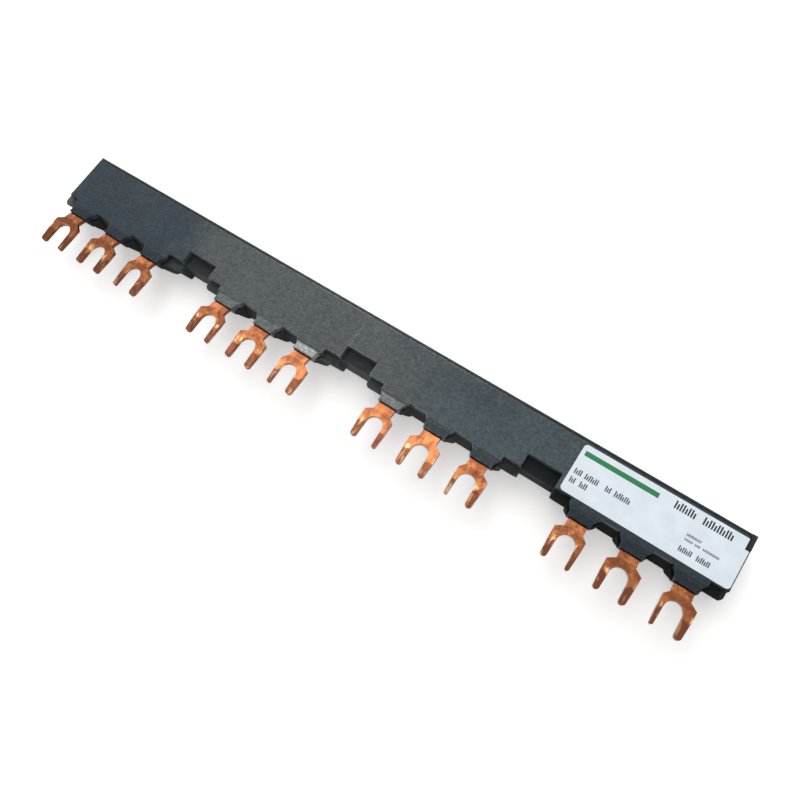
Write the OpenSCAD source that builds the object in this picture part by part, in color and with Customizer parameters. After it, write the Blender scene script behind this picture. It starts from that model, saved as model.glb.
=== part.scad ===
// Three-phase comb busbar: a moulded rear shell holds three stamped copper
// bars, one behind the other, with insulating sheets between them. Two moulded
// covers close the front. Each bar carries one screw fork for each starter.
// The part lies on its back: X along the bar, forks towards -Y, face upwards.

/* [Layout] */
// Number of starters side by side, each fed by one group of three forks
group_count = 4; // [3:1:6]
// Distance from one group of forks to the next
group_pitch = 54; // [52:1:72]
// Distance between the three forks of a group
phase_pitch = 13.5; // [13.2:0.1:13.8]
// Housing length beyond the middle of each end group
end_reach = 22; // [21.6:0.2:26]
// Ledge of the shell beyond the cover at the left end
end_ledge = 1.4; // [1.2:0.1:1.8]
// Groups closed by the left cover, the right cover closes the others
left_cover_groups = 2; // [1:1:2]

/* [Housing] */
// Depth from the rear face to the front face
housing_depth = 9.4; // [9.2:0.1:11]
// Wall of the rear shell
wall = 1.2; // [1:0.1:1.4]
// Thickness of the front covers
cover_t = 2; // [1.9:0.1:2.2]
// Height of the shell's rim above the covers
rim_t = 0.6; // [0.5:0.1:1]
// Hairline gap between the covers and the shell, and between the covers
seam_gap = 0.15; // [0.1:0.05:0.2]
// Rounding of the shell's long rear edges
rear_edge_r = 0.8; // [0.4:0.1:1]
// Width of the block in front of each group
block_w = 44.6; // [44:0.2:46]
// Height of the covers between two blocks
bridge_h = 10.2; // [9.9:0.1:11]
// Height of the shell between two blocks
saddle_h = 13.9; // [13.4:0.1:14.4]
// Height of the covers at the corners of a block
corner_h = 14; // [13.6:0.1:14.3]
// Height of the covers in the bays between two spouts
bay_h = 14.85; // [14.6:0.1:15.2]
// Height of the shell's lobes beside the outer spouts
lobe_h = 16.65; // [16.2:0.1:17]
// Rounding of the lobes' outer corners
lobe_r = 1.5; // [1:0.1:2]
// How much higher a lobe's underside lies at the shell's rear
lobe_rise = 1.7; // [1:0.1:2]
// How much lower the shell's underside is at its rear below the bays
bay_fall = 0.6; // [0:0.1:0.8]

/* [Spouts] */
// Height of the covers at the mouth of a spout
spout_h = 18.4; // [18:0.1:18.8]
// Height at which a spout's front starts to rise
ridge_h = 15.7; // [15.4:0.1:16]
// How far a spout's front rises above the front face down to its mouth
hood_rise = 0.7; // [0.3:0.1:0.9]
// Width of a spout at the front face
spout_w = 8.3; // [8:0.1:8.6]
// Width of the cover's hood at the mouth
mouth_w = 5.9; // [5.7:0.1:6.2]
// Width of the shell's lip at the mouth
lip_w = 6.6; // [6.4:0.1:7.2]
// Height of the shell's lip at the mouth
lip_h = 18.1; // [17.8:0.1:18.6]
// Thickness of the shell's lip at the mouth
lip_t = 1.3; // [1.2:0.1:2.4]
// Height of the skirt below a spout at the shell's rear
skirt_h = 15.9; // [15.6:0.1:16.4]

/* [Ear] */
// Height of the raised ear at the top right corner of the housing
ear_h = 3.4; // [2:0.1:5]
// How far the ear stands up from the front face
ear_rise = 0.3; // [0.1:0.1:0.6]

/* [Copper] */
// Thickness of the copper bars and forks
bar_t = 1.3; // [1.2:0.1:1.4]
// Width of the strip that joins the forks of one bar
strip_w = 8.2; // [7.6:0.1:8.4]
// Width of a fork's neck
neck_w = 4.85; // [4.5:0.05:5]
// Distance from the housing's top edge to the tips of the forks
fork_reach = 29.7; // [29:0.1:32]
// Depth of the slot in a fork
slot_depth = 7.3; // [6.8:0.1:7.8]
// Width of the slot, for the shank of a terminal screw
slot_w = 4.65; // [4.4:0.05:4.8]
// How much the slot widens on each side towards the tips
slot_flare = 0.12; // [0:0.02:0.2]
// How far the forks' front stands in front of the front face
fork_rise = 1.1; // [0.6:0.1:1.4]
// How far the tips bend back
tip_bend = 0.15; // [0.05:0.05:0.4]
// Clearance around the copper inside the housing
copper_gap = 0.25; // [0.15:0.05:0.3]

/* [Label] */
// Thickness of the adhesive label
label_t = 0.12; // [0.08:0.02:0.2]
// Length of the label
label_l = 43.1; // [30:0.1:43.2]
// Height of the label
label_h = 13; // [10:0.1:13.2]
// Rounding of the label's corners
label_r = 1; // [0.4:0.1:1.5]

/* [Hidden] */
$fn = 48;

phases = [0, 1, 2];
stack_gap = 0.05;                 // play between the bars, the sheets and the housing
over = 1;                         // how far a cutting shape runs past a face
length = (group_count - 1) * group_pitch + 2 * end_reach;
shell_front = housing_depth - cover_t;
separator_t = (shell_front - wall - 3 * bar_t - 6 * stack_gap) / 2;
strip_top = wall;                 // the strips hang this far below the housing's top edge
strip_bottom = strip_top + strip_w;
sheet_margin = 0.3;               // the insulating sheets stand this far out past the strips
tray_bottom = strip_bottom + sheet_margin + stack_gap;

// Steps of a fork's path: where its bends lie below the housing's top edge
inner_bend_top = tray_bottom + 0.8;
inner_bend_bottom = 15.2;
outer_bend = spout_h + 2.2;
shoulder_top = outer_bend + 0.25;
shoulder_bottom = shoulder_top + 1.2;
tip_bend_at = 25.2;
strip_cover = 2;                  // how far a tongue's path reaches up into its strip
bend_r = 1.1;                     // radius of a bend at the middle of the copper
bend_step = 18;                   // angle of one facet of a bend

// Widths of the left and right prong of each fork of a group
prong_w = [[1.95, 1.45], [1.9, 2.05], [1.25, 2.1]];
prong_taper = 0.25;               // how much a prong's outer side runs in towards its tip

saddle_fall = 0.2;                // how much higher the saddles' underside lies at the rear
lip_corner = 0.5;                 // rounding of a lip's lower corners
lip_chamfer = 0.4;                // chamfer behind a lip
lip_flank = [1.1, 2.5];           // how far a lip widens, and above its lower edge
lip_turn = 27;                    // slope of a lip's flanks, where their lower corners start
skirt_lead = [0.5, 1.8];          // where the slope behind a lip meets the skirt
hood_roof = 0.35;                 // hood over the copper at a mouth
mouth_gap = 0.12;                 // clearance between a tongue and the hood over it
hood_shoulder = [0.3, 0.9];       // where a hood's sides draw in, about its ridge
hood_draft = 0.25;                // how much a hood narrows below its shoulders
groove = [0.25, 0.15];            // width and depth of the shadow line beside a bridge
label_edge = [0.25, 0.75];        // label to the housing's end and top edge
label_play = [0.1, 0.15];         // label to the ear it is cut out round
ledge_lap = 0.2;                  // how far the left cover rests on the end wall beside it

// Where the tray for the strips and the sheets ends
tray_left = -length / 2 + end_ledge + ledge_lap;
tray_right = length / 2 - wall;

// Front of the tongues where they leave their mouths, and of the forks, and the rise between
mouth_front = housing_depth + hood_rise - hood_roof - mouth_gap;
fork_front = housing_depth + fork_rise;
ramp = (fork_front - mouth_front) / (outer_bend - spout_h);

// The bounding box is centred on the origin in X and Y, with its rear at Z = 0
y_shift = (fork_reach - rim_t) / 2;

function group_x(g) = (g - (group_count - 1) / 2) * group_pitch;
function phase_x(g, p) = group_x(g) + (p - 1) * phase_pitch;
function strip_front(p) = wall + stack_gap + bar_t + p * (bar_t + separator_t + 2 * stack_gap);

// Draws a (Y, Z) outline from x0 to x1
module run_x(x0, x1) {
    translate([x0, 0, 0]) rotate([90, 0, 90]) linear_extrude(x1 - x0) children();
}

// Draws an (X, Y) outline from z0 to z1
module run_z(z0, z1) {
    translate([0, 0, z0]) linear_extrude(z1 - z0) children();
}

// A rectangle from its lowest to its highest corner
module area(x0, y0, x1, y1) {
    translate([x0, y0]) square([x1 - x0, y1 - y0]);
}

// Shell section from its rear, rounded, to the front plane at z1
module shell_section(front_h, rear_h, z1) {
    r = rear_edge_r;
    polygon(concat(
        [[rim_t, z1], [-front_h, z1]],
        [for (a = [0:30:90]) [-rear_h + r - r * cos(a), r - r * sin(a)]],
        [for (a = [90:-30:0]) [rim_t - r + r * cos(a), r - r * sin(a)]]));
}

// A lobe from x_in to x_out, with its lower corner at x_out rounded
module lobe_outline(x_in, x_out) {
    side = sign(x_out - x_in);
    x_round = x_out - side * lobe_r;
    area(min(x_in, x_round), -lobe_h, max(x_in, x_round), -corner_h + over);
    area(min(x_in, x_out), -lobe_h + lobe_r, max(x_in, x_out), -corner_h + over);
    translate([x_round, -lobe_h + lobe_r]) circle(lobe_r);
}

// The shell's half of a spout: a lip at the mouth, and a skirt that runs back from it
module spout_outline() {
    half = lip_w / 2;
    flank = half + lip_flank[0];
    r = lip_corner;
    turn = 90 - lip_turn;
    polygon(concat(
        [[-flank, -corner_h + over], [-flank, -lip_h + lip_flank[1]]],
        [for (i = [3:-1:0]) [-half + r - r * sin(turn * i / 3), -lip_h + r - r * cos(turn * i / 3)]],
        [for (i = [0:3]) [half - r + r * sin(turn * i / 3), -lip_h + r - r * cos(turn * i / 3)]],
        [[flank, -lip_h + lip_flank[1]], [flank, -corner_h + over]]));
}

module spout_section() {
    lip_rear = shell_front - lip_t;
    polygon([[-corner_h + over, shell_front], [-lip_h, shell_front],
        [-lip_h, lip_rear], [-lip_h + lip_chamfer, lip_rear - lip_chamfer],
        [-skirt_h - skirt_lead[0], skirt_lead[1]], [-skirt_h, rear_edge_r],
        [-skirt_h + rear_edge_r, 0],
        [-corner_h + over, 0]]);
}

module spout_back(x) {
    intersection() {
        translate([x, 0, 0]) run_z(0, shell_front) spout_outline();
        run_x(x - spout_w, x + spout_w) spout_section();
    }
}

// Room for a tongue: open to the front, its floor follows the copper
module tongue_channel(p) {
    k = tongue_corners(p);
    floor_at = [for (i = [1:3]) k[i] + (bar_t / 2 + copper_gap) * side_at(k, i)];
    polygon([[-tray_bottom + over, fork_front + over], [floor_at[2][0], fork_front + over],
        floor_at[2], floor_at[1], floor_at[0], [-tray_bottom + over, floor_at[0][1]]]);
}

// Room for a tongue below its hood: its roof follows the copper
module hood_channel(p) {
    k = tongue_corners(p);
    roof_at = [for (i = [2:3]) k[i] - (bar_t / 2 + mouth_gap) * side_at(k, i)];
    polygon([[-tray_bottom, shell_front - over], [-tray_bottom, roof_at[0][1]],
        roof_at[0], roof_at[1], [roof_at[1][0], shell_front - over]]);
}

module shell_lobes(g) {
    x = group_x(g);
    inner = phase_pitch + spout_w / 2 - over;
    for (side = [-1, 1]) {
        reach = min(block_w / 2, length / 2 - side * x);
        intersection() {
            run_z(0, shell_front) lobe_outline(x + side * inner, x + side * reach);
            run_x(x - block_w, x + block_w) shell_section(lobe_h, lobe_h - lobe_rise, shell_front);
        }
    }
}

module shell_blocks() {
    for (g = [0:group_count - 1]) {
        half = phase_pitch + spout_w / 2;
        run_x(group_x(g) - half, group_x(g) + half)
            shell_section(bay_h, bay_h + bay_fall, shell_front);
        shell_lobes(g);
        for (p = phases) spout_back(phase_x(g, p));
    }
}

// Rim above the covers, and the right end wall beside them with its raised ear
module shell_rim() {
    run_x(-length / 2 + end_ledge, length / 2)
        area(0, shell_front - over, rim_t, housing_depth);
    run_z(shell_front - over, housing_depth)
        area(tray_right, -corner_h, length / 2, rim_t);
    run_z(shell_front - over, housing_depth + ear_rise)
        area(tray_right, -ear_h, length / 2, rim_t);
}

module rear_shell() {
    color("#3a444b") difference() {
        union() {
            run_x(-length / 2, length / 2)
                shell_section(saddle_h, saddle_h - saddle_fall, shell_front);
            shell_blocks();
            shell_rim();
        }
        // tray for the strips and the sheets
        translate([tray_left, -tray_bottom, wall])
            cube([tray_right - tray_left, tray_bottom - strip_top + sheet_margin + stack_gap,
                housing_depth]);
        for (g = [0:group_count - 1], p = phases)
            run_x(phase_x(g, p) - neck_w / 2 - copper_gap, phase_x(g, p) + neck_w / 2 + copper_gap)
                tongue_channel(p);
    }
}

// Outline of a cover in front of one group, without its spouts
module block_outline(x0, x1, x) {
    bay = phase_pitch + spout_w / 2;
    area(x0, -corner_h, x1, -seam_gap);
    area(x - bay, -bay_h, x + bay, -seam_gap);
}

// Hood in front of a tongue: full width down to the ridge, then drawn in and rising
module hood_outline() {
    half = spout_w / 2;
    mouth = mouth_w / 2;
    top = -ridge_h + hood_shoulder[0];
    low = -ridge_h - hood_shoulder[1];
    polygon([[-half, -corner_h], [-half, top], [-mouth - hood_draft, low],
        [-mouth, -spout_h], [mouth, -spout_h], [mouth + hood_draft, low],
        [half, top], [half, -corner_h]]);
}

module hood_section() {
    polygon([[-corner_h + over, shell_front], [-corner_h + over, housing_depth],
        [-ridge_h, housing_depth], [-spout_h, housing_depth + hood_rise],
        [-spout_h, shell_front]]);
}

module hood(x) {
    intersection() {
        translate([x, 0, 0]) run_z(shell_front, housing_depth + hood_rise) hood_outline();
        run_x(x - spout_w, x + spout_w) hood_section();
    }
}

// Cover from x0 to x1 in front of the groups from first to last
module cover(x0, x1, first, last) {
    half = neck_w / 2 + copper_gap;
    difference() {
        union() {
            run_z(shell_front, housing_depth) union() {
                area(x0, -bridge_h, x1, -seam_gap);
                for (g = [first:last]) block_outline(
                    max(group_x(g) - block_w / 2, x0), min(group_x(g) + block_w / 2, x1), group_x(g));
            }
            for (g = [first:last], p = phases) hood(phase_x(g, p));
        }
        for (g = [first:last], p = phases)
            run_x(phase_x(g, p) - half, phase_x(g, p) + half) hood_channel(p);
        // shadow line where a bridge meets the block on its left
        for (g = [first:last]) if (group_x(g) + block_w / 2 < x1 - over)
            translate([group_x(g) + block_w / 2, -bridge_h - over, housing_depth - groove[1]])
                cube([groove[0], bridge_h + 2 * over, over]);
    }
}

cover_seam = group_x(left_cover_groups) - block_w / 2;

module cover_left() {
    color("#414b52") cover(-length / 2 + end_ledge, cover_seam - seam_gap,
        0, left_cover_groups - 1);
}

module cover_right() {
    color("#414b52") cover(cover_seam, tray_right - seam_gap,
        left_cover_groups, group_count - 1);
}

// Flat outline of a fork with its neck, drawn about its own middle line
module fork_outline(p) {
    r = slot_w / 2;
    apex = fork_reach - slot_depth;
    difference() {
        union() {
            area(-neck_w / 2, -shoulder_bottom, neck_w / 2, -strip_top);
            polygon([[-neck_w / 2, -shoulder_top], [-r - prong_w[p][0], -shoulder_bottom],
                [-r - prong_w[p][0], -apex - r], [r + prong_w[p][1], -apex - r],
                [r + prong_w[p][1], -shoulder_bottom], [neck_w / 2, -shoulder_top]]);
            for (side = [0, 1]) prong_outline(2 * side - 1, prong_w[p][side], apex + r);
        }
        translate([0, -apex - r]) circle(r);
        polygon([[-r, -apex - r], [-r - slot_flare, -fork_reach - over],
            [r + slot_flare, -fork_reach - over], [r, -apex - r]]);
    }
}

module prong_outline(side, w, top) {
    inner = slot_w / 2;
    tip_in = inner + slot_flare;
    tip_out = inner + w - prong_taper;
    tip_r = (tip_out - tip_in) / 2;
    side_line = [[inner, -top], [tip_in, -fork_reach + tip_r],
        [tip_out, -fork_reach + tip_r], [inner + w, -top]];
    mirror([side < 0 ? 1 : 0, 0]) polygon(side_line);
    translate([side * (tip_in + tip_out) / 2, -fork_reach + tip_r]) circle(tip_r);
}

// Unit vector from a to b, and a vector turned by an angle
function heading(a, b) = (b - a) / norm(b - a);
function turned(v, a) = [v[0] * cos(a) - v[1] * sin(a), v[0] * sin(a) + v[1] * cos(a)];

// Corner q between p and r, drawn as an arc of bend_r
function bend(p, q, r) =
    let (u = heading(p, q), turn = asin(cross(u, heading(q, r))),
        start = q - bend_r * tan(abs(turn) / 2) * u,
        arm = sign(turn) * bend_r * [u[1], -u[0]],
        steps = ceil(abs(turn) / bend_step))
    [for (i = [0:steps]) start - arm + turned(arm, turn * i / steps)];

// Middle line of a tongue in (Y, Z), from inside the strip to the tip of the fork
function tongue_corners(p) = [
    [-strip_bottom + strip_cover, strip_front(p) - bar_t / 2],
    [-inner_bend_top, strip_front(p) - bar_t / 2],
    [-inner_bend_bottom, fork_front - bar_t / 2 - ramp * (outer_bend - inner_bend_bottom)],
    [-outer_bend, fork_front - bar_t / 2],
    [-tip_bend_at, fork_front - bar_t / 2],
    [-fork_reach - over, fork_front - bar_t / 2 - tip_bend]];

function tongue_path(k) = concat([k[0]],
    [for (i = [1:len(k) - 2]) each bend(k[i - 1], k[i], k[i + 1])],
    [k[len(k) - 1]]);

// Side vector at point i of path k, for a sheet of even thickness about it
function side_at(k, i) =
    let (a = turned(heading(k[max(i - 1, 0)], k[max(i, 1)]), 90),
        b = turned(heading(k[min(i, len(k) - 2)], k[min(i + 1, len(k) - 1)]), 90))
    (a + b) / (1 + a * b);

function ribbon(k, t) = concat(
    [for (i = [0:len(k) - 1]) k[i] - t / 2 * side_at(k, i)],
    [for (i = [len(k) - 1:-1:0]) k[i] + t / 2 * side_at(k, i)]);

module fork(p) {
    intersection() {
        run_z(-over, fork_front + over) fork_outline(p);
        run_x(-spout_w, spout_w) polygon(ribbon(tongue_path(tongue_corners(p)), bar_t));
    }
}

// One bar: a flat strip and a fork for each group, stamped and bent from one sheet
module copper_bar(p) {
    color("#b8683c") union() {
        run_z(strip_front(p) - bar_t, strip_front(p)) area(tray_left + copper_gap,
            -strip_bottom, tray_right - copper_gap, -strip_top);
        for (g = [0:group_count - 1]) translate([phase_x(g, p), 0, 0]) fork(p);
    }
}

// Insulating sheet in front of bar p
module separator(p) {
    color("#d8d4c4") run_z(strip_front(p) + stack_gap, strip_front(p) + stack_gap + separator_t)
        area(tray_left + copper_gap, -strip_bottom - sheet_margin,
            tray_right - copper_gap, -strip_top + sheet_margin);
}

// Adhesive label on the last block, cut out round the ear at its upper corner
module label() {
    x1 = length / 2 - label_edge[0];
    y1 = -label_edge[1];
    notch_x = tray_right - label_play[0];
    r = label_r;
    color("#e3ebf5") run_z(housing_depth, housing_depth + label_t) difference() {
        union() {
            area(x1 - label_l + r, y1 - label_h, x1 - r, y1);
            area(x1 - label_l, y1 - label_h + r, x1, y1 - r);
            for (x = [x1 - label_l + r, x1 - r], y = [y1 - label_h + r, y1 - r])
                translate([x, y]) circle(r);
        }
        area(notch_x, -ear_h - label_play[1], x1 + over, over);
    }
}

module place() {
    translate([0, y_shift, 0]) children();
}

place() rear_shell();
place() cover_left();
place() cover_right();
place() copper_bar(0);  // bar_l1
place() copper_bar(1);  // bar_l2
place() copper_bar(2);  // bar_l3
place() separator(0);  // separator_rear
place() separator(1);  // separator_front
place() label();
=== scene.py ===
"""Comb busbar on a pale floor: materials, printed label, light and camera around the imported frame."""

import math

import bmesh
import bpy
from bpy.props import FloatProperty, FloatVectorProperty, PointerProperty
from mathutils import Euler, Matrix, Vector


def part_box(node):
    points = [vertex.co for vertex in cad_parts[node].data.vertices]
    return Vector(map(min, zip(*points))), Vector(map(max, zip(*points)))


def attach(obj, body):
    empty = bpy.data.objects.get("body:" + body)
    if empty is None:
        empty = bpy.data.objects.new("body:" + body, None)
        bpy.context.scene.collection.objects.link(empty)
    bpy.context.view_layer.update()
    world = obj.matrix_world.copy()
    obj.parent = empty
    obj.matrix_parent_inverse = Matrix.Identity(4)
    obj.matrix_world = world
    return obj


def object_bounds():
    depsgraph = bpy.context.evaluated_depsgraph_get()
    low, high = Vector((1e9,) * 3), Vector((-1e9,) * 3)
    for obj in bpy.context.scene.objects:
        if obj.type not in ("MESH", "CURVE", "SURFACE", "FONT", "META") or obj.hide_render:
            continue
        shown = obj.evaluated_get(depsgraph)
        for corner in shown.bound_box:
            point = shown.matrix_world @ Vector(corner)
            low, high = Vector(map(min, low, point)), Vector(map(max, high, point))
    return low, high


bl_info = {
    "name": "Comb busbar",
    "version": (1, 0, 0),
    "blender": (4, 5, 0),
    "location": "View3D > Sidebar > Busbar",
    "description": "Dresses a three-phase comb busbar in moulded plastic, copper and a printed label",
    "category": "Object",
}

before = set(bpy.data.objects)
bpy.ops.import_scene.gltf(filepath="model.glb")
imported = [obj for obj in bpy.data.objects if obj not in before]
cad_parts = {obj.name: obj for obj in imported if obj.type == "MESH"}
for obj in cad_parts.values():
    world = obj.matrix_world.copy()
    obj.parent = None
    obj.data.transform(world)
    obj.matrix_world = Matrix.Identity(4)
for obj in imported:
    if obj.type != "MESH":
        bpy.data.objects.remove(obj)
CAD_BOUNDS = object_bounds()
MM = 0.001


def mm(*values):
    """Millimetres as metres."""
    return tuple(value * MM for value in values)


HOUSING = ("rear_shell", "cover_left", "cover_right")
BARS = ("bar_l1", "bar_l2", "bar_l3")
SHEETS = ("separator_rear", "separator_front")

# across the bar: the hoods start to rise and end, the necks end, the arms start and the tips bend back
RIDGE_Y = -1.15 * MM
HOOD_Y = -3.85 * MM
NECK_Y = -6.0 * MM
ARMS_Y = -8.3 * MM
CREASE_Y = -10.65 * MM
# where the shell's rim starts above the covers and past their right end
RIM_Y = 14.0 * MM
RIM_X = 102.2 * MM
# distance between the groups of forks, and the shell's lobes measured from the middle between two groups
GROUP_PITCH = 54 * MM
LOBE_X = mm(4.4, 9.7, 0.3)
LOBE_Y = mm(-2.6, 0.5, 0.4)
# left sides of the shadow lines beside the bridges, and their width
GROOVES_X = mm(-58.7, -4.7, 49.3)
GROOVE_WIDTH = 0.25 * MM

# fades along the bar, (start, end): from the covers' cool left end, into their blue part and into the dark
# part round the label; then of the shell's tone, of the light on its saddles and lobes, and of the painted
# highlight on its left corner
COOL_FADE = mm(-66, -50)
BLUE_FADE = mm(4, 34)
LABEL_FADE = mm(59.5, 63)
SHELL_FADE = mm(35, 60)
SADDLE_FADE = mm(20, 30)
LOBE_FADE = mm(30, 60)
CORNER_FADE = mm(-103, -97.5)
# fades across the bar, (start, end): into the covers' stained upper part, into the shell's saddles, and
# out of the painted highlight on its left corner
UPPER_FADE = mm(4, 11)
SADDLE_EDGE = mm(-0.6, 0.6)
CORNER_EDGE = mm(0.2, 1.2)
# stretches along the bar, (left, right, softness): the deep and the olive stain, the middle with the most
# wear and the strongest painted edge highlights, the hoods without painted shade, those with painted
# highlights over real scuffing, strong, light and faint, and the copper brightest by painted light
DEEP_STRETCH = mm(10, 46, 8)
OLIVE_STRETCH = mm(-95, -74, 5)
WEAR_AND_HIGHLIGHT_STRETCH = mm(-34, 34, 14)
UNSHADED_HOODS = mm(-45, 18, 3)
HARD_RUB_AND_HIGHLIGHT = mm(-16.9, -10.2, 0.3)
LIGHT_RUB_AND_HIGHLIGHT = mm(10.2, 16.8, 0.4)
FAINT_RUB_AND_HIGHLIGHT = mm(-44, -19, 2)
PAINTED_LIGHT_COPPER = mm(-28, 34, 6)

# how much of its colour each mark shows: on the covers,
DEEP_SHARE = 0.60
OLIVE_SHARE = 0.35
# painted highlights over real scuffing on the lighter and fainter hoods
LIGHT_SHARE = 0.38
FAINT_SHARE = 0.16
# painted shade on the hoods of the outer groups
HOOD_SHADE_SHARE = 0.46
# painted shade along the ridge where the hoods start to rise, and a painted highlight just below it
RIDGE_SHADE = 0.75
RIDGE_LIGHT = 0.35
# painted light in the grooves beside the bridges
GROOVE_LIGHT_SHARE = 0.35
# on both plastics and on the shell,
SCRATCH_SHARE = 0.8
# painted highlight on the shell's left corner
CORNER_HIGHLIGHT_SHARE = 0.22
RIM_SHARE = 0.8
# and on the copper
# painted shade on the bent tips of the forks
TIP_SHADE_SHARE = 0.9
FLECK_SHARE = 0.40
# painted glints at the creases and on the tips
CREASE_GLINT = 0.8
TIP_GLINT = 0.22
# painted shade and painted highlight along the copper's edges
COPPER_EDGE_LIGHT_AND_SHADE = 0.5
# painted shade where the copper leaves the hoods
MOUTH_SHADE_SHARE = 0.8
# light on the shell's saddles and lobes, (left, right)
SADDLE_LIGHT = (0.95, 0.45)
LOBE_LIGHT = (0.95, 0.25)
# wear and painted edge highlights of the covers and the shell, (at the ends, about the middle)
COVER_WEAR_AND_HIGHLIGHT = (0.16, 1.0)
SHELL_WEAR_AND_HIGHLIGHT = (0.10, 0.45)
# tarnish and painted shade of the forks' bodies, of the necks and of all copper, (elsewhere, where painted
# light makes it brightest)
BODY_TARNISH_AND_SHADE = (0.95, 0.45)
NECK_TARNISH_AND_SHADE = (0.80, 0.42)
COPPER_TARNISH_AND_SHADE = (0.55, 0.10)
# scratches on the plastic: turn in degrees, and the noise's scale along the scratch
SCRATCHES = ((47, 0.22), (-38, 0.30))
# how dull a finish is at its dullest above its shiniest
DULLNESS_SPAN = 0.12
# specular level of the covers' face, of their hoods, and of the shell at its left and right end
FACE_GLOSS = 0.25
HOOD_GLOSS = 0.12
SHELL_GLOSS = (0.12, 0.02)
# width of the rounding along the copper's edges, and how far a normal turns where an edge shows in full
COPPER_EDGE = 0.16 * MM
EDGE_COSINE = 0.94

WHITE = (1, 1, 1, 1)
SENSOR_WIDTH = 36
FLOOR_THICKNESS = 10 * MM
NEAREST_SEEN = 5 * MM


# ---------------------------------------------------------------- settings


class BusbarFinish(bpy.types.PropertyGroup):
    """Colours and surface sizes of the busbar."""

    shell_color: FloatVectorProperty(
        name="Shell", description="Colour of the moulded rear shell", subtype="COLOR",
        size=3, min=0, max=1, default=(0.014, 0.016, 0.0155))
    cover_color: FloatVectorProperty(
        name="Covers", description="Colour of the moulded front covers", subtype="COLOR",
        size=3, min=0, max=1, default=(0.074, 0.088, 0.093))
    cool_color: FloatVectorProperty(
        name="Cool end", description="Colour of the covers towards the left end", subtype="COLOR",
        size=3, min=0, max=1, default=(0.023, 0.038, 0.052))
    blue_color: FloatVectorProperty(
        name="Blue part", description="Colour of the covers right of the middle", subtype="COLOR",
        size=3, min=0, max=1, default=(0.050, 0.070, 0.080))
    dark_color: FloatVectorProperty(
        name="Dark end", description="Colour of the covers round the label", subtype="COLOR",
        size=3, min=0, max=1, default=(0.020, 0.035, 0.042))
    # used for real scuffs and for painted highlights on edges, ridges, hoods and the shell's left corner
    scuff_and_highlight_color: FloatVectorProperty(
        name="Scuffs", description="Colour of scuffed and worn plastic", subtype="COLOR",
        size=3, min=0, max=1, default=(0.34, 0.35, 0.35))
    copper_color: FloatVectorProperty(
        name="Copper", description="Colour of the clean copper", subtype="COLOR",
        size=3, min=0, max=1, default=(0.47, 0.175, 0.070))
    tarnish_color: FloatVectorProperty(
        name="Tarnish", description="Colour of the darkened copper", subtype="COLOR",
        size=3, min=0, max=1, default=(0.205, 0.068, 0.030))
    # painted shade on the bent tips of the forks
    tip_shade_color: FloatVectorProperty(
        name="Tips", description="Colour of the copper on the worn tips of the forks", subtype="COLOR",
        size=3, min=0, max=1, default=(0.150, 0.050, 0.027))
    # painted glints on the copper
    glint_color: FloatVectorProperty(
        name="Glints", description="Colour of the rubbed bright spots on the copper", subtype="COLOR",
        size=3, min=0, max=1, default=(0.95, 0.60, 0.30))
    sheet_color: FloatVectorProperty(
        name="Sheets", description="Colour of the insulating sheets", subtype="COLOR",
        size=3, min=0, max=1, default=(0.62, 0.58, 0.48))
    grain: FloatProperty(
        name="Grain", description="Size of the moulded surface's grain", unit="LENGTH",
        min=0.00002, max=0.001, default=0.00018, precision=5)
    # the worn band along the plastic's edges also carries a painted edge highlight
    edge: FloatProperty(
        name="Edge", description="Width of the worn band along the plastic's edges", unit="LENGTH",
        min=0.00002, max=0.001, default=0.00042, precision=5)


class BusbarLabel(bpy.types.PropertyGroup):
    """Colours and print of the label."""

    film_color: FloatVectorProperty(
        name="Film", description="Colour of the label's film", subtype="COLOR",
        size=3, min=0, max=1, default=(0.80, 0.875, 0.95))
    ink_color: FloatVectorProperty(
        name="Ink", description="Colour of the printed strokes", subtype="COLOR",
        size=3, min=0, max=1, default=(0.006, 0.008, 0.010))
    accent_color: FloatVectorProperty(
        name="Accent", description="Colour of the printed stripe", subtype="COLOR",
        size=3, min=0, max=1, default=(0.0, 0.19, 0.052))
    ink_height: FloatProperty(
        name="Ink height", description="How far the print stands up from the film", unit="LENGTH",
        min=0.000005, max=0.0001, default=0.00001, precision=6)


class BusbarStage(bpy.types.PropertyGroup):
    """Floor, lamps and camera."""

    floor_color: FloatVectorProperty(
        name="Floor", description="Colour of the floor", subtype="COLOR",
        size=3, min=0, max=1, default=(0.88, 0.88, 0.88))
    floor_size: FloatProperty(
        name="Floor size", description="Side of the square floor", unit="LENGTH",
        min=0.5, max=20, default=6)
    key_power: FloatProperty(
        name="Key", description="Power of the large softbox behind the bar", unit="POWER",
        min=0, max=50, default=6.5)
    top_power: FloatProperty(
        name="Top", description="Power of the softbox above the bar", unit="POWER",
        min=0, max=50, default=1.0)
    fill_power: FloatProperty(
        name="Fill", description="Power of the softbox in front of the bar", unit="POWER",
        min=0, max=50, default=0.6)
    floor_lift: FloatProperty(
        name="Floor lift", description="How much white is added where the floor is seen",
        subtype="FACTOR", min=0, max=1, default=0.38)
    sky_level: FloatProperty(
        name="Sky", description="Brightness of the surroundings on the object",
        subtype="FACTOR", min=0, max=1, default=0.5)
    eye: FloatVectorProperty(
        name="Eye", description="Camera from the middle of the housing's rear", subtype="TRANSLATION",
        unit="LENGTH", size=3, default=(0.06067, -0.04310, 0.18465))
    turn: FloatVectorProperty(
        name="Turn", description="Rotation of the camera", subtype="EULER", unit="ROTATION",
        size=3, default=(0.33044, 0.08208, 0.58860))
    lens: FloatProperty(
        name="Lens", description="Focal length on a sensor 36 mm wide", unit="CAMERA",
        min=10, max=200, default=33.167)


# ---------------------------------------------------------------- materials

# sockets of a colour mix, which share their names with others of the node
MIX_FACTOR, MIX_FIRST, MIX_SECOND, MIX_RESULT = 0, 6, 7, 2


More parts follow.
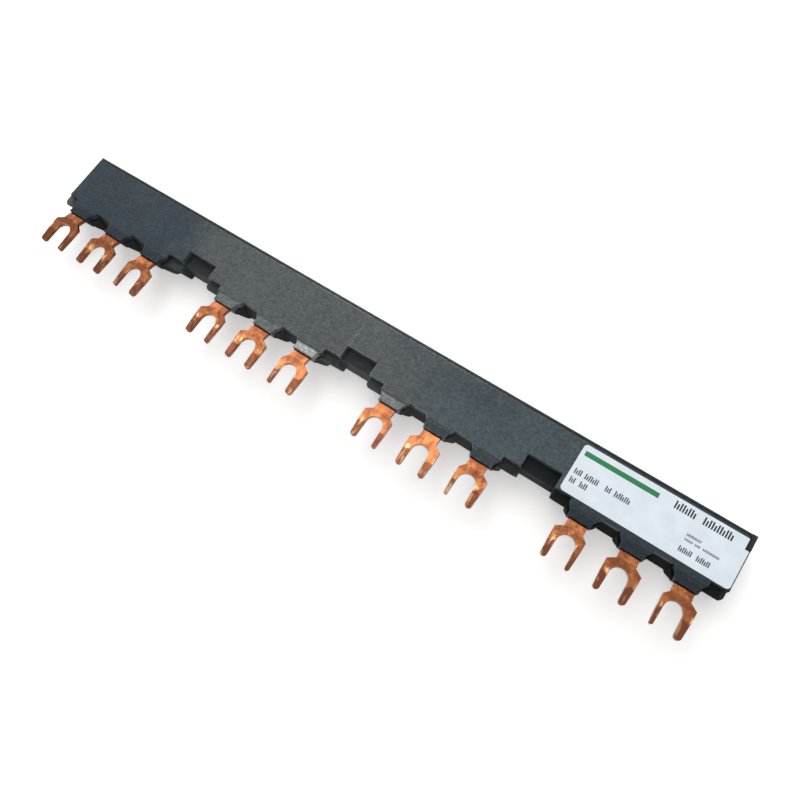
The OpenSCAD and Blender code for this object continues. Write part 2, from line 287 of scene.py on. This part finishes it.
class Nodes:
    """Short hand for a node tree. Its values are numbers or the output sockets of other nodes."""

    def __init__(self, tree):
        self.tree = tree

    def feed(self, node, inputs):
        """Sets or links a node's inputs, given by name or number."""
        for key, value in inputs.items():
            if isinstance(value, bpy.types.NodeSocket):
                self.tree.links.new(value, node.inputs[key])
            else:
                node.inputs[key].default_value = value

    def add(self, kind, inputs=None, **settings):
        """New node with its settings and inputs."""
        node = self.tree.nodes.new(kind)
        for key, value in settings.items():
            setattr(node, key, value)
        self.feed(node, inputs or {})
        return node

    def place(self):
        """Position in the frame."""
        return self.add("ShaderNodeTexCoord").outputs["Object"]

    def along(self, axis):
        """Position along an axis of the frame."""
        return self.add("ShaderNodeSeparateXYZ", {"Vector": self.place()}).outputs[axis]

    def noise(self, size, detail=3.0, roughness=0.55, stretch=(1, 1, 1), turn=0.0):
        """Noise whose features are about size metres wide, scaled by stretch and turned about Z."""
        mapping = self.add("ShaderNodeMapping", {
            "Vector": self.place(), "Scale": stretch, "Rotation": (0, 0, turn)})
        texture = self.add("ShaderNodeTexNoise", {
            "Vector": mapping.outputs["Vector"], "Scale": 1 / size,
            "Detail": detail, "Roughness": roughness})
        return texture.outputs["Fac"]

    def ramp(self, value, low, high, to_low=0.0, to_high=1.0):
        """Straight change between two ends, level beyond them."""
        node = self.add("ShaderNodeMapRange", {
            "Value": value, "From Min": low, "From Max": high,
            "To Min": to_low, "To Max": to_high}, clamp=True)
        return node.outputs["Result"]

    def between(self, share, at_none, at_full):
        """One value where the share is 0, and another where it is 1."""
        return self.ramp(share, 0.0, 1.0, at_none, at_full)

    def band(self, position, low, high, soft):
        """1 between two positions and 0 beyond them, with soft ends."""
        rise = self.ramp(position, low - soft, low + soft)
        fall = self.ramp(position, high - soft, high + soft, 1.0, 0.0)
        return self.product(rise, fall)

    def fold(self, operation, result, *values):
        """Arithmetic that takes in one value after the other."""
        for value in values:
            node = self.add("ShaderNodeMath", {0: result, 1: value}, operation=operation)
            result = node.outputs["Value"]
        return result

    def total(self, *values):
        return self.fold("ADD", *values)

    def product(self, *values):
        return self.fold("MULTIPLY", *values)

    def largest(self, *values):
        return self.fold("MAXIMUM", *values)

    def mix(self, first, second, factor):
        """Colour mix; first and second are colours or sockets."""
        first, second = (color if isinstance(color, bpy.types.NodeSocket) else (*color, 1.0)
                         for color in (first, second))
        node = self.add("ShaderNodeMix", {
            MIX_FACTOR: factor, MIX_FIRST: first, MIX_SECOND: second}, data_type="RGBA")
        return node.outputs[MIX_RESULT]

    def edges(self, radius):
        """1 along sharp edges and 0 on flat faces, and the rounded normal."""
        rounded = self.add("ShaderNodeBevel", {"Radius": radius}, samples=6).outputs["Normal"]
        flat = self.add("ShaderNodeNewGeometry").outputs["Normal"]
        alike = self.add("ShaderNodeVectorMath", {0: rounded, 1: flat}, operation="DOT_PRODUCT")
        return self.ramp(alike.outputs["Value"], 1.0, EDGE_COSINE), rounded

    def bump(self, height, distance, strength, normal=None):
        """Normal that follows a height, on top of another normal where one is given."""
        node = self.add("ShaderNodeBump", {
            "Height": height, "Distance": distance, "Strength": strength})
        if normal is not None:
            self.feed(node, {"Normal": normal})
        return node.outputs["Normal"]

    def seen(self):
        """1 for rays that come straight, in a reflection or through glass from the camera."""
        path = self.add("ShaderNodeLightPath").outputs
        return self.largest(path["Is Camera Ray"], path["Is Glossy Ray"], path["Is Transmission Ray"])


class Surface(Nodes):
    """Nodes of a new material with one Principled shader."""

    def __init__(self, name):
        self.material = bpy.data.materials.new(name)
        self.material.use_nodes = True
        super().__init__(self.material.node_tree)
        self.tree.nodes.clear()
        self.shader = self.add("ShaderNodeBsdfPrincipled")
        self.add("ShaderNodeOutputMaterial", {"Surface": self.shader.outputs["BSDF"]})

    def finish(self, inputs):
        """Sets or links the shader's inputs, and returns the material."""
        self.feed(self.shader, inputs)
        return self.material


def shade(color, factor):
    """Darker or lighter colour."""
    return tuple(min(1.0, channel * factor) for channel in color)


def moulded(n, base, look, wear_and_highlight, mottling, dullness, gloss):
    """Finishes a plastic round its base colour: mottling, hairline scratches, worn edges with a painted edge
    highlight, grain.
    """
    speckle = n.noise(0.7 * MM, detail=5.0, roughness=0.75)
    clouds = n.noise(14 * MM, roughness=0.6)
    swing = 0.3 * mottling
    tone = n.total(n.ramp(speckle, 0.40, 0.60, -mottling, mottling),
                   n.ramp(clouds, 0.36, 0.64, 1 - swing, 1 + swing))
    toned = n.add("ShaderNodeVectorMath", {0: base, "Scale": tone}, operation="SCALE")
    scratches = []
    for turn, reach in SCRATCHES:
        lines = n.noise(0.8 * MM, detail=5.0, roughness=0.72,
                        stretch=(1, reach, 1), turn=math.radians(turn))
        scratches.append(n.ramp(lines, 0.59, 0.78, 0.0, 0.30))
    scratched = n.mix(toned.outputs["Vector"], look.scuff_and_highlight_color,
                      n.product(n.total(*scratches), wear_and_highlight, SCRATCH_SHARE))
    # worn edges: real wear together with a painted edge highlight in the scuff colour
    edge, rounded = n.edges(look.edge)
    ragged = n.noise(0.9 * MM, detail=4.0, roughness=0.7)
    worn = n.product(edge, n.ramp(ragged, 0.38, 0.62, 0.12, 1.0), wear_and_highlight)
    grain = n.noise(look.grain, roughness=0.6)
    return n.finish({
        "Base Color": n.mix(scratched, look.scuff_and_highlight_color, worn),
        "Roughness": n.ramp(clouds, 0.3, 0.7, dullness, dullness + DULLNESS_SPAN),
        "Specular IOR Level": gloss,
        "IOR": 1.5,
        "Normal": n.bump(grain, 0.16 * look.grain, 0.7, rounded),
    })


def cover_face(n, x, y, look):
    """The covers' colour along the bar: cool at the left, blue right of the middle, dark at the label."""
    drift = n.noise(12 * MM, roughness=0.6)
    wandering = n.total(x, n.ramp(drift, 0.2, 0.8, *mm(-10, 10)))
    color = n.mix(look.cool_color, look.cover_color, n.ramp(wandering, *COOL_FADE))
    color = n.mix(color, look.blue_color, n.ramp(wandering, *BLUE_FADE))
    upper = n.ramp(y, *UPPER_FADE)
    stain = n.noise(10 * MM, roughness=0.6)
    deep = n.product(n.band(x, *DEEP_STRETCH), upper, n.ramp(stain, 0.40, 0.55, 0.2, 1.0), DEEP_SHARE)
    color = n.mix(color, look.cool_color, deep)
    olive = n.product(n.band(x, *OLIVE_STRETCH), upper, n.ramp(stain, 0.42, 0.58), OLIVE_SHARE)
    color = n.mix(color, shade(look.cover_color, 0.8), olive)
    return n.mix(color, look.dark_color, n.ramp(x, *LABEL_FADE))


def cover_hoods(n, x, y, color, look, wear_and_highlight):
    """Painted shade on the outer hoods and along their ridge, painted highlights below the ridge and, over
    real scuffing, about the middle.
    """
    below = n.ramp(y, RIDGE_Y - 0.2 * MM, RIDGE_Y + 0.4 * MM, 1.0, 0.0)
    rub_and_painted_light = n.noise(0.9 * MM, detail=5.0, roughness=0.75)
    # painted shade on the hoods of the outer groups, broken up by noise
    hood_shade = n.between(n.band(x, *UNSHADED_HOODS), HOOD_SHADE_SHARE, 0.0)
    color = n.mix(color, shade(look.cool_color, 0.3),
                  n.product(below, hood_shade, n.ramp(rub_and_painted_light, 0.40, 0.62, 1.15, 0.75)))
    # painted shade along the ridge, and a painted highlight just below it
    ridge_shade_line = n.band(y, RIDGE_Y - 0.15 * MM, RIDGE_Y + 0.20 * MM, 0.1 * MM)
    color = n.mix(color, shade(look.shell_color, 0.5), n.product(ridge_shade_line, RIDGE_SHADE))
    ridge_highlight_line = n.band(y, RIDGE_Y - 0.55 * MM, RIDGE_Y - 0.25 * MM, 0.1 * MM)
    color = n.mix(color, look.scuff_and_highlight_color,
                  n.product(ridge_highlight_line, wear_and_highlight, n.ramp(rub_and_painted_light, 0.42, 0.58), RIDGE_LIGHT))
    # painted highlights over real scuffing on the hoods about the middle
    inner = n.band(y, HOOD_Y + 0.3 * MM, RIDGE_Y - 0.4 * MM, 0.2 * MM)
    rub_and_highlight = n.largest(n.product(n.band(x, *HARD_RUB_AND_HIGHLIGHT), inner),
                    n.product(n.band(x, *LIGHT_RUB_AND_HIGHLIGHT), inner, LIGHT_SHARE),
                    n.product(n.band(x, *FAINT_RUB_AND_HIGHLIGHT), FAINT_SHARE))
    polish_and_highlight = n.product(rub_and_highlight, below, n.ramp(rub_and_painted_light, 0.40, 0.58, 0.45, 1.0))
    return n.mix(color, shade(look.scuff_and_highlight_color, 1.5), polish_and_highlight)


def cover_plastic(look):
    """Covers: most worn, and with the strongest painted edge highlights, about the middle of the bar,
    painted light in the shadow lines beside the bridges.
    """
    n = Surface("cover_plastic")
    x, y = n.along("X"), n.along("Y")
    # wear about the middle, which also sets the strength of the painted edge and ridge highlights
    wear_and_highlight = n.between(n.band(x, *WEAR_AND_HIGHLIGHT_STRETCH), *COVER_WEAR_AND_HIGHLIGHT)
    color = cover_hoods(n, x, y, cover_face(n, x, y, look), look, wear_and_highlight)
    # painted light that lifts the grooves beside the bridges out of their shade
    grooves = n.largest(*(n.band(x, left, left + GROOVE_WIDTH, 0.12 * MM) for left in GROOVES_X))
    groove_light = n.mix(color, shade(look.cover_color, 3.0), n.product(grooves, GROOVE_LIGHT_SHARE))
    gloss = n.ramp(y, RIDGE_Y - 0.2 * MM, RIDGE_Y, HOOD_GLOSS, FACE_GLOSS)
    return moulded(n, groove_light, look, wear_and_highlight, mottling=0.34, dullness=0.42, gloss=gloss)


def shell_plastic(look):
    """Shell: darker and duller than the covers, lit on the saddles, lobes and rim, with a painted highlight
    on its left corner and worn lips that also carry a painted edge highlight.
    """
    n = Surface("shell_plastic")
    x, y = n.along("X"), n.along("Y")
    color = n.mix(look.shell_color, shade(look.shell_color, 0.25), n.ramp(x, *SHELL_FADE))
    saddles = n.product(n.ramp(x, *SADDLE_FADE, *SADDLE_LIGHT), n.ramp(y, *SADDLE_EDGE))
    color = n.mix(color, shade(look.cover_color, 0.42), saddles)
    from_middle = n.fold("PINGPONG", n.total(x, 2 * GROUP_PITCH), GROUP_PITCH / 2)
    lobes = n.product(n.band(from_middle, *LOBE_X), n.band(y, *LOBE_Y),
                      n.ramp(x, *LOBE_FADE, *LOBE_LIGHT))
    color = n.mix(color, shade(look.cover_color, 0.80), lobes)
    patches = n.ramp(n.noise(6 * MM), 0.42, 0.66, 0.0, 0.5)
    color = n.mix(color, shade(look.shell_color, 1.3), patches)
    rim = n.largest(n.ramp(y, RIM_Y - 0.3 * MM, RIM_Y), n.ramp(x, RIM_X - 0.3 * MM, RIM_X))
    color = n.mix(color, shade(look.cover_color, 0.55), n.product(rim, RIM_SHARE))
    # painted highlight on the shell's left corner
    corner = n.product(n.ramp(x, *CORNER_FADE, 1.0, 0.0), n.ramp(y, *CORNER_EDGE, 1.0, 0.0), CORNER_HIGHLIGHT_SHARE)
    color = n.mix(color, look.scuff_and_highlight_color, corner)
    # wear, which also sets the strength of the painted edge highlights
    wear_and_highlight = n.between(n.band(x, *WEAR_AND_HIGHLIGHT_STRETCH), *SHELL_WEAR_AND_HIGHLIGHT)
    gloss = n.ramp(x, *SHELL_FADE, *SHELL_GLOSS)
    return moulded(n, color, look, wear_and_highlight, mottling=0.14, dullness=0.55, gloss=gloss)


def copper(look):
    """Stamped copper: painted light about the middle, darker bodies and necks partly by painted shade,
    painted shade on the tips, at the hoods and on some edges, painted glints.
    """
    n = Surface("bar_copper")
    x, y = n.along("X"), n.along("Y")
    patches = n.noise(3.0 * MM, stretch=(1, 0.6, 1))
    drift = n.noise(2.6 * MM, roughness=0.6)
    wandering = n.total(y, n.ramp(drift, 0.25, 0.75, *mm(-1.1, 1.1)))
    # painted light on the copper about the middle; outside it the bodies, necks and all copper get painted
    # shade over their tarnish
    bright = n.band(x, *PAINTED_LIGHT_COPPER)
    bodies = n.band(wandering, ARMS_Y, NECK_Y, 0.5 * MM)
    necks = n.ramp(wandering, NECK_Y - 0.3 * MM, NECK_Y + 0.3 * MM)
    tarnish_and_shade = n.largest(n.product(bodies, n.between(bright, *BODY_TARNISH_AND_SHADE)),
                        n.product(necks, n.between(bright, *NECK_TARNISH_AND_SHADE)),
                        n.between(bright, *COPPER_TARNISH_AND_SHADE))
    blotchy = n.total(tarnish_and_shade, n.ramp(patches, 0.38, 0.64, -0.30, 0.45))
    color = n.mix(look.copper_color, look.tarnish_color, blotchy)
    # painted shade on the bent tips
    tips = n.ramp(wandering, CREASE_Y - 0.3 * MM, CREASE_Y + 0.3 * MM, TIP_SHADE_SHARE, 0.0)
    color = n.mix(color, look.tip_shade_color, tips)
    flecks = n.ramp(n.noise(0.7 * MM, detail=4.0, roughness=0.65), 0.60, 0.76, 0.0, FLECK_SHARE)
    color = n.mix(color, shade(look.tip_shade_color, 0.6), flecks)
    # painted glints at the creases and on the tips
    rub_and_painted_light = n.ramp(n.noise(1.4 * MM, detail=2.0, roughness=0.5, stretch=(1.3, 0.4, 1)), 0.54, 0.62)
    crease = n.band(wandering, CREASE_Y - 0.1 * MM, CREASE_Y + 1.3 * MM, 0.4 * MM)
    below_crease = n.ramp(y, CREASE_Y, CREASE_Y + 0.4 * MM, TIP_GLINT, 0.0)
    shine = n.largest(n.product(crease, CREASE_GLINT), below_crease)
    color = n.mix(color, look.glint_color, n.product(shine, rub_and_painted_light))
    edge, rounded = n.edges(COPPER_EDGE)
    # painted shade and painted highlight along the edges, dark or bright by noise
    rim = n.mix(shade(look.tarnish_color, 0.6), shade(look.copper_color, 1.4), n.ramp(patches, 0.46, 0.58))
    color = n.mix(color, rim, n.product(edge, COPPER_EDGE_LIGHT_AND_SHADE))
    # painted shade where the copper leaves the hoods
    mouth_shade = n.ramp(y, HOOD_Y - 0.6 * MM, HOOD_Y - 0.1 * MM, 0.0, MOUTH_SHADE_SHARE)
    waves = n.bump(n.noise(2.2 * MM, detail=2.0, roughness=0.5), 0.4 * MM, 0.7, rounded)
    rolling = n.noise(0.3 * MM, roughness=0.5, stretch=(0.06, 1, 1))
    return n.finish({
        "Base Color": n.mix(color, shade(look.tarnish_color, 0.45), mouth_shade),
        "Roughness": n.ramp(patches, 0.3, 0.7, 0.20, 0.38),
        "Metallic": 1.0,
        "Normal": n.bump(rolling, 0.012 * MM, 0.5, waves),
    })


def sheet(name, color, size, roughness, height):
    """Thin even sheet, film or ink, with a trace of mottling whose patches are size wide."""
    n = Surface(name)
    patches = n.noise(size)
    mottled = n.ramp(patches, 0.3, 0.7)
    return n.finish({
        "Base Color": n.mix(shade(color, 0.94), shade(color, 1.04), mottled),
        "Roughness": n.between(mottled, roughness, roughness + 0.1),
        "Normal": n.bump(patches, height, 0.4),
    })


def floor_paper(color, lift):
    """Matte floor with the object's shadow, lifted to white where it is seen."""
    n = Surface("floor_paper")
    clouds = n.noise(20 * MM, detail=2.0)
    return n.finish({
        "Base Color": n.mix(shade(color, 0.99), shade(color, 1.01), clouds),
        "Roughness": 0.9,
        "Emission Color": WHITE,
        "Emission Strength": n.product(n.seen(), lift),
    })


def dress(node, material):
    """Gives every slot of a CAD node the material."""
    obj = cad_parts[node]
    obj.data.materials.clear()
    obj.data.materials.append(material)


# ---------------------------------------------------------------- pieces


# corners of a block's faces, where a corner's number counts X first, then Y, then Z
BLOCK_FACES = ((0, 2, 3, 1), (4, 5, 7, 6), (0, 1, 5, 4), (2, 6, 7, 3), (0, 4, 6, 2), (1, 3, 7, 5))


def blocks(name, boxes, material):
    """One mesh of closed blocks, each (low corner, high corner)."""
    bm = bmesh.new()
    for low, high in boxes:
        corners = [bm.verts.new((x, y, z)) for z in (low[2], high[2])
                   for y in (low[1], high[1]) for x in (low[0], high[0])]
        for face in BLOCK_FACES:
            bm.faces.new([corners[i] for i in face])
    mesh = bpy.data.meshes.new(name)
    bm.to_mesh(mesh)
    bm.free()
    obj = bpy.data.objects.new(name, mesh)
    bpy.context.scene.collection.objects.link(obj)
    mesh.materials.append(material)
    return obj


class BUSBAR_OT_housing(bpy.types.Operator):
    """Give the moulded shell and covers their plastic"""

    bl_idname = "busbar.housing"
    bl_label = "Housing"

    def execute(self, context):
        look = context.scene.busbar_finish
        shell, cover = shell_plastic(look), cover_plastic(look)
        for node in HOUSING:
            dress(node, shell if node == "rear_shell" else cover)
        return {"FINISHED"}


class BUSBAR_OT_copper(bpy.types.Operator):
    """Give the three bars their copper"""

    bl_idname = "busbar.copper"
    bl_label = "Copper bars"

    def execute(self, context):
        metal = copper(context.scene.busbar_finish)
        for node in BARS:
            dress(node, metal)
        return {"FINISHED"}


class BUSBAR_OT_sheets(bpy.types.Operator):
    """Give the insulating sheets their finish"""

    bl_idname = "busbar.sheets"
    bl_label = "Insulating sheets"

    def execute(self, context):
        color = context.scene.busbar_finish.sheet_color
        board = sheet("pressed_board", color, size=2 * MM, roughness=0.6, height=0.02 * MM)
        for node in SHEETS:
            dress(node, board)
        return {"FINISHED"}


class BUSBAR_OT_label(bpy.types.Operator):
    """Give the label its film and a plain print of strokes and one stripe"""

    bl_idname = "busbar.label"
    bl_label = "Label"

    # words of plain strokes as (left, right, top, bottom) in mm from the label's upper left corner
    WORDS = (
        (24.4, 30.2, 0.8, 2.8), (31.6, 39.2, 0.8, 2.8),
        (1.0, 2.9, 6.4, 7.9), (3.8, 7.6, 6.4, 7.9), (9.2, 10.8, 6.4, 7.9), (11.6, 15.8, 6.4, 7.9),
        (1.0, 2.8, 8.8, 10.3), (3.6, 5.9, 8.8, 10.3),
        (29.8, 33.4, 6.3, 7.0), (29.8, 31.8, 7.6, 8.2), (32.3, 33.8, 7.6, 8.2), (34.3, 38.4, 7.6, 8.2),
        (29.6, 33.2, 9.7, 11.1), (34.0, 37.6, 9.7, 11.1),
    )
    STRIPES = ((1.0, 20.4, 1.5, 2.8),)
    # width of a stroke, of the gap after it and the cut off every third one, as shares of a word's height
    STROKE, GAP, CUT = 0.20, 0.14, 0.28

    def strokes(self):
        """Upright strokes of each word, every third one shorter."""
        for left, right, top, bottom in self.WORDS:
            height = bottom - top
            width, gap = height * self.STROKE, height * self.GAP
            for i in range(int((right - left + gap) / (width + gap))):
                at = left + i * (width + gap)
                yield at, at + width, top + (height * self.CUT if i % 3 == 1 else 0.0), bottom

    def execute(self, context):
        label = context.scene.busbar_label
        dress("label", sheet("label_film", label.film_color, size=4 * MM, roughness=0.32, height=0.004 * MM))
        low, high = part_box("label")
        for name, bars, color in (("label_ink", self.strokes(), label.ink_color),
                                  ("label_stripe", self.STRIPES, label.accent_color)):
            boxes = [((low.x + left * MM, high.y - bottom * MM, high.z - label.ink_height),
                      (low.x + right * MM, high.y - top * MM, high.z + label.ink_height))
                     for left, right, top, bottom in bars]
            ink = sheet(name, color, size=1 * MM, roughness=0.4, height=0.002 * MM)
            piece = blocks(name, boxes, ink)
            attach(piece, "root")
        return {"FINISHED"}


class BUSBAR_OT_stage(bpy.types.Operator):
    """Add the floor, the lamps, the surroundings and the camera"""

    bl_idname = "busbar.stage"
    bl_label = "Stage"

    # square softboxes: name, place from the middle of the housing's rear, side, colour
    LAMPS = (
        ("key", (-0.31, 0.82, 0.66), 1.05, (1.0, 0.99, 0.97)),
        ("top", (-0.22, 0.15, 0.75), 0.42, (1.0, 0.99, 0.98)),
        ("fill", (0.6, -0.6, 0.6), 0.60, (0.96, 0.98, 1.0)),
    )

    def execute(self, context):
        stage = context.scene.busbar_stage
        low, high = CAD_BOUNDS
        middle = Vector(((low[0] + high[0]) / 2, (low[1] + high[1]) / 2, low[2]))
        half = stage.floor_size / 2
        floor = blocks("floor", [((-half, -half, low[2] - FLOOR_THICKNESS), (half, half, low[2]))],
                       floor_paper(stage.floor_color, stage.floor_lift))
        for name, place, side, color in self.LAMPS:
            self.lamp(f"{name}_softbox", middle, Vector(place), side, getattr(stage, f"{name}_power"), color)
        self.surroundings(context.scene, stage.sky_level)
        self.camera(context.scene, middle, stage)
        context.scene.view_settings.view_transform = "Standard"
        return {"FINISHED"}

    def lamp(self, name, middle, place, side, power, color):
        """Square softbox that faces the middle."""
        data = bpy.data.lights.new(name, "AREA")
        data.shape = "SQUARE"
        data.size = side
        data.energy = power
        data.color = color
        lamp = bpy.data.objects.new(name, data)
        lamp.location = middle + place
        lamp.rotation_euler = (-place).to_track_quat("-Z", "Y").to_euler()
        bpy.context.scene.collection.objects.link(lamp)

    def surroundings(self, scene, level):
        """White all round where it is seen, and a plain level of light on the object."""
        world = bpy.data.worlds.new("surroundings")
        world.use_nodes = True
        n = Nodes(world.node_tree)
        n.feed(n.tree.nodes["Background"], {
            "Color": WHITE, "Strength": n.between(n.seen(), level, 1.0)})
        scene.world = world

    def camera(self, scene, middle, stage):
        """Camera that looks down on the bar from its right."""
        data = bpy.data.cameras.new("camera")
        data.sensor_width = SENSOR_WIDTH
        data.lens = stage.lens
        data.clip_start = NEAREST_SEEN
        camera = bpy.data.objects.new("camera", data)
        camera.location = middle + Vector(stage.eye)
        camera.rotation_euler = Euler(stage.turn)
        scene.collection.objects.link(camera)
        scene.camera = camera


OPERATORS = (BUSBAR_OT_housing, BUSBAR_OT_copper, BUSBAR_OT_sheets, BUSBAR_OT_label, BUSBAR_OT_stage)
GROUPS = (("busbar_finish", BusbarFinish), ("busbar_label", BusbarLabel), ("busbar_stage", BusbarStage))


class BUSBAR_PT_panel(bpy.types.Panel):
    """Lists the busbar's pieces and settings"""

    bl_idname = "BUSBAR_PT_panel"
    bl_label = "Comb busbar"
    bl_space_type = "VIEW_3D"
    bl_region_type = "UI"
    bl_category = "Busbar"

    def draw(self, context):
        for operator in OPERATORS:
            self.layout.operator(operator.bl_idname)
        for name, group in GROUPS:
            for prop in group.__annotations__:
                self.layout.prop(getattr(context.scene, name), prop)


def register():
    for name, group in GROUPS:
        bpy.utils.register_class(group)
        setattr(bpy.types.Scene, name, PointerProperty(type=group))
    for cls in (*OPERATORS, BUSBAR_PT_panel):
        bpy.utils.register_class(cls)


def unregister():
    for cls in (BUSBAR_PT_panel, *reversed(OPERATORS)):
        bpy.utils.unregister_class(cls)
    for name, group in reversed(GROUPS):
        delattr(bpy.types.Scene, name)
        bpy.utils.unregister_class(group)


def main():
    register()
    bpy.ops.busbar.housing()
    bpy.ops.busbar.copper()
    bpy.ops.busbar.sheets()
    bpy.ops.busbar.label()
    bpy.ops.busbar.stage()


if __name__ == "__main__":
    main()
